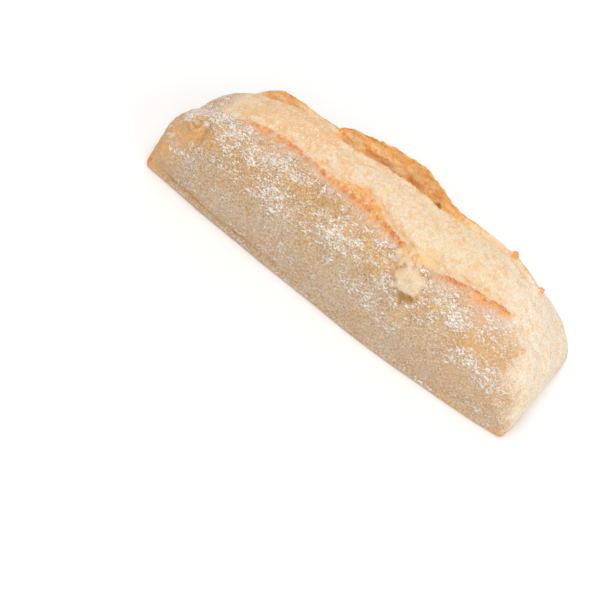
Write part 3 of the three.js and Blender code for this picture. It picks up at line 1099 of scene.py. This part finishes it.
@dataclass(frozen=True)
class BakedCrust:
    """The loaf's finish: floured crust, browned edges and pale open crumb.

    Attributes:
        tan: the crust where it is palest.
        gold: the crust where it is browner.
        toasted: the crust at the end that baked most.
        edge: the browned edges, from light to dark.
        cream: the open crumb.
        peach: the open crumb where the oven touched it, and painted shade in the hollows of its dimples.
        blush: the crust beside a browned edge.
        ochre: crumb in the half shade of a pocket.
        pit: the crumb's darker specks, and painted shade where its strands dip.
        shaded_low_crust: painted shade on the crust low on the sides.
        bloom: the fine grains of flour low on the sides, greyed by painted shade.
        shade: the inside of a deep hole.
        flour: loose flour.
        underside: the crust that lay on the baking surface.
        streak_stretch: how much longer the flour's flakes are along each axis.
        strand_stretch: how much longer the crumb's strands are along each axis.
        specular: how strongly the crust reflects.
        subsurface: how much light goes through the skin.
        subsurface_radius: how far red, green and blue light go, as shares of the reach.
        subsurface_reach: how far light goes under the skin, in millimetres.
    """

    tan: Colour = (0.82, 0.52, 0.22)
    gold: Colour = (0.55, 0.265, 0.065)
    toasted: Colour = (0.79, 0.43, 0.16)
    edge: tuple[Colour, Colour] = ((0.95, 0.46, 0.13), (0.74, 0.20, 0.045))
    blush: Colour = (0.88, 0.60, 0.44)
    cream: Colour = (0.84, 0.66, 0.43)
    peach: Colour = (0.82, 0.47, 0.20)
    ochre: Colour = (0.98, 0.62, 0.25)
    pit: Colour = (0.74, 0.45, 0.17)
    shaded_low_crust: Colour = (0.44, 0.29, 0.16)
    bloom: Colour = (0.74, 0.62, 0.49)
    shade: Colour = (0.62, 0.34, 0.08)
    flour: Colour = (0.98, 0.91, 0.82)
    underside: Colour = (0.50, 0.31, 0.15)
    streak_stretch: Triple = (1.8, 1.0, 1.0)
    strand_stretch: Triple = (0.8, 2.2, 1.8)
    specular: float = 0.3
    subsurface: float = 0.12
    subsurface_radius: Triple = (1.0, 0.55, 0.25)
    subsurface_reach: float = 2.0

    def build(self) -> bpy.types.Material:
        """Make the material."""
        paint = Painter("baked_crust")
        place = paint.millimetres()
        patches = paint.speckle(place, 11.0, 3.0)
        mottles = paint.speckle(place, 2.6, 4.0, 0.6)
        grain = paint.speckle(place, 1.1, 3.0, 0.65)
        strands = paint.speckle(paint.millimetres(self.strand_stretch), 1.0, 3.0, 0.6)
        flakes = paint.speckle(paint.millimetres(self.streak_stretch), 0.75, 2.0, 0.6)
        specks = paint.speckle(place, 0.5, 2.0, 0.6)

        crumb, peach, ochre = paint.mask("crumb"), paint.mask("peach"), paint.mask("ochre")
        shade, brown, blush = paint.mask("shade"), paint.mask("brown"), paint.mask("blush")
        crest = paint.mask("crest")
        flour, dust_and_shade, base = paint.mask("flour"), paint.mask("dust_and_shade"), paint.mask("base")
        toast = paint.mask("toast")

        baked = (0.5 + (patches - 0.5) * 2.4 + (grain - 0.5) * 3.5 + (specks - 0.5) * 4.0).clamped()
        crust = paint.mix(baked, self.gold, self.tan)
        crust = paint.mix((toast * (0.8 + (grain - 0.5) * 2.0)).clamped(), crust, self.toasted)
        crust = paint.mix(base * 0.8, crust, self.underside)
        veil = (dust_and_shade * (0.55 + (specks - 0.5) * 4.5 + (grain - 0.5) * 3.0 + (flakes - 0.5) * 4.0)).clamped()
        # Painted shade low on the sides: darker crust under a greyed veil of flour.
        crust = paint.mix(dust_and_shade * 0.7, crust, self.shaded_low_crust)
        crust = paint.mix(veil * 0.85, crust, self.bloom)
        haze = (flour * 1.1 + (flakes - 0.5) * 2.5 + (grain - 0.5) * 1.5 - 0.2).clamped()
        crust = paint.mix(haze * 0.15, crust, self.flour)
        floured = (flour * 1.6 + (flakes - 0.5) * 7.0 + (specks - 0.5) * 5.0 - 0.85).clamped()
        crust = paint.mix(floured, crust, self.flour)
        crust = paint.mix((blush * (0.75 + (grain - 0.5) * 2.5)).clamped() * 0.85, crust, self.blush)

        # Peach where the oven touched the crumb, and painted shade in the dimples' hollows.
        touched = (peach * 1.5 - 0.12 + (patches - 0.5) * 1.8 + (mottles - 0.5) * 1.6 + (grain - 0.5) * 2.2
                   + (specks - 0.5) * 2.0).clamped()
        open_crumb = paint.mix(touched, self.cream, self.peach)
        open_crumb = paint.mix(flakes.above(0.575, 0.12) * 0.65, open_crumb, self.pit)
        # Painted shade where the crumb's strands dip in the bump.
        open_crumb = paint.mix((0.41 - strands) * 4.0 * crumb, open_crumb, self.pit)
        open_crumb = paint.mix(strands.above(0.60, 0.12) * 0.55, open_crumb, self.flour)
        open_crumb = paint.mix(specks.above(0.57, 0.14) * 0.35, open_crumb, self.flour)
        sifted = (dust_and_shade * (0.5 + (specks - 0.5) * 4.0 + (flakes - 0.5) * 4.0)).clamped()
        open_crumb = paint.mix(sifted, open_crumb, self.flour)
        opened = (crumb * 1.6 + (grain - 0.5) * 1.5 - 0.3).clamped()
        surface = paint.mix(opened, crust, open_crumb)
        surface = paint.mix((ochre * (0.9 + (grain - 0.5) * 1.5)).clamped(), surface, self.ochre)
        scorched = (crest * 0.7 + (mottles - 0.5) * 2.6 + (grain - 0.5) * 2.4 + 0.05).clamped()
        edge = paint.mix(scorched, self.edge[0], self.edge[1])
        browned = (brown * 1.3 + (flakes - 0.5) * 3.0 + (grain - 0.5) * 2.0 - 0.3).clamped()
        browned = browned * brown.above(0.15, 0.2)
        surface = paint.mix(browned * (1.0 - floured * 0.8), surface, edge)
        surface = paint.mix(shade * 0.85, surface, self.shade)

        height = (floured * 0.22 + haze * 0.1 + specks * 0.1) * (1.0 - crumb * 0.7)
        height = height + grain * 0.45 + mottles * 0.6 + strands * crumb * 0.4
        bump = paint.node("ShaderNodeBump", {}, {"Strength": 1.0, "Distance": MM, "Height": height})
        rough = 0.72 + floured * 0.2 - brown * 0.15
        shader = paint.node("ShaderNodeBsdfPrincipled", {"subsurface_method": "RANDOM_WALK"}, {
            "Base Color": surface, "Roughness": rough, "Normal": bump.outputs[0],
            "Specular IOR Level": self.specular, "Subsurface Weight": self.subsurface,
            "Subsurface Radius": self.subsurface_radius, "Subsurface Scale": self.subsurface_reach * MM})
        return paint.finish(shader.outputs[0])


@dataclass(frozen=True)
class PaleFloor:
    """The studio floor's plain matt white."""

    colour: Colour = (0.97, 0.97, 0.97)

    def build(self) -> bpy.types.Material:
        """Make the material."""
        paint = Painter("pale_floor")
        shader = paint.node("ShaderNodeBsdfDiffuse", {}, {"Color": (*self.colour, 1.0)})
        return paint.finish(shader.outputs[0])


# ---- The studio ----------------------------------------------------------------------------------


@dataclass(frozen=True)
class SoftBox:
    """A square studio lamp that faces the loaf.

    Attributes:
        name: the lamp's name.
        at: where it hangs, in metres.
        width: its width in metres.
        power: its power in watts.
        colour: the colour of its light.
    """

    name: str
    at: Triple
    width: float
    power: float
    colour: Colour = (1.0, 1.0, 1.0)

    def build(self, target: Vector) -> bpy.types.Object:
        """Hang the lamp, facing a target."""
        light = bpy.data.lights.new(self.name, "AREA")
        light.size = self.width
        light.energy = self.power
        light.color = self.colour
        lamp = bpy.data.objects.new(self.name, light)
        lamp.location = self.at
        lamp.rotation_euler = (target - lamp.location).to_track_quat("-Z", "Y").to_euler()
        bpy.context.scene.collection.objects.link(lamp)
        return lamp


@dataclass
class Studio:
    """The floor, lamps, sky and camera around the loaf.

    Attributes:
        azimuth, elevation, roll: how the camera looks at the loaf, in degrees.
        distance: from the camera to its target, in metres.
        target: the point it looks at, in metres.
        lens: focal length in millimetres.
        near_limit: from the camera to the nearest thing it shows, in metres.
        floor_width: the floor's width, in metres.
        sky: strength of the even light from all around.
        lamp_target: the point that the lamps face, in metres.
        lamps: the lamps.
    """

    azimuth: float = 20.0
    elevation: float = 53.5
    roll: float = 21.5
    distance: float = 0.776
    target: Triple = (0.00025, -0.0564, 0.025)
    lens: float = 100.0
    near_limit: float = 0.01
    floor_width: float = 6.0
    sky: float = 0.5
    lamp_target: Triple = (0.0, 0.0, 0.03)
    lamps: tuple[SoftBox, ...] = (
        SoftBox("key_lamp", (-0.05, -0.1, 1.1), 0.8, 5.5),
        SoftBox("side_lamp", (0.95, -0.35, 0.6), 0.8, 3.0),
        SoftBox("front_lamp", (0.2, -1.0, 0.7), 0.8, 2.3),
        SoftBox("back_lamp", (-0.3, 1.0, 0.7), 0.8, 2.0),
    )

    def build(self) -> None:
        """Set up everything around the loaf."""
        self._camera()
        self._floor()
        self._sky()
        for lamp in self.lamps:
            lamp.build(Vector(self.lamp_target))

    def _camera(self) -> None:
        """Stand the camera at its viewing angle."""
        azimuth, elevation, roll = (math.radians(a) for a in (self.azimuth, self.elevation, self.roll))
        back = Vector((math.sin(azimuth) * math.cos(elevation), -math.cos(azimuth) * math.cos(elevation),
                       math.sin(elevation)))
        level = Vector((math.cos(azimuth), math.sin(azimuth), 0.0))
        upright = back.cross(level)
        right = math.cos(roll) * level + math.sin(roll) * upright
        up = back.cross(right)
        data = bpy.data.cameras.new("camera")
        data.lens = self.lens
        data.clip_start = self.near_limit
        camera = bpy.data.objects.new("camera", data)
        turn = Matrix((right, up, back)).transposed().to_4x4()
        camera.matrix_world = Matrix.Translation(Vector(self.target) + back * self.distance) @ turn
        bpy.context.scene.collection.objects.link(camera)
        bpy.context.scene.camera = camera

    def _floor(self) -> None:
        """Lay the floor under the loaf."""
        half = self.floor_width / 2.0
        mesh = bpy.data.meshes.new("studio_floor")
        corners = [(-half, -half, 0.0), (half, -half, 0.0), (half, half, 0.0), (-half, half, 0.0)]
        mesh.from_pydata(corners, [], [(0, 1, 2, 3)])
        mesh.materials.append(PaleFloor().build())
        floor = bpy.data.objects.new("studio_floor", mesh)
        bpy.context.scene.collection.objects.link(floor)

    def _sky(self) -> None:
        """Surround the studio with even white light."""
        world = bpy.data.worlds.new("studio_sky")
        world.use_nodes = True
        background = world.node_tree.nodes["Background"]
        background.inputs["Strength"].default_value = self.sky
        background.inputs["Color"].default_value = (1.0, 1.0, 1.0, 1.0)
        bpy.context.scene.world = world
        bpy.context.scene.view_settings.view_transform = "Standard"


def main() -> None:
    """Build the studio and the loaf, and write down how large the loaf came out."""
    logging.basicConfig(level=logging.INFO, format="%(name)s: %(message)s")
    Studio().build()
    LOG.info("studio: camera, floor, sky and lamps")

    loaf = Loaf().build("baked_loaf")
    loaf.data.materials.append(BakedCrust().build())
    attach(loaf, "root")
    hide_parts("loaf")
    LOG.info("baked_loaf: %d points, %d faces", len(loaf.data.vertices), len(loaf.data.polygons))


if __name__ == "__main__":
    main()
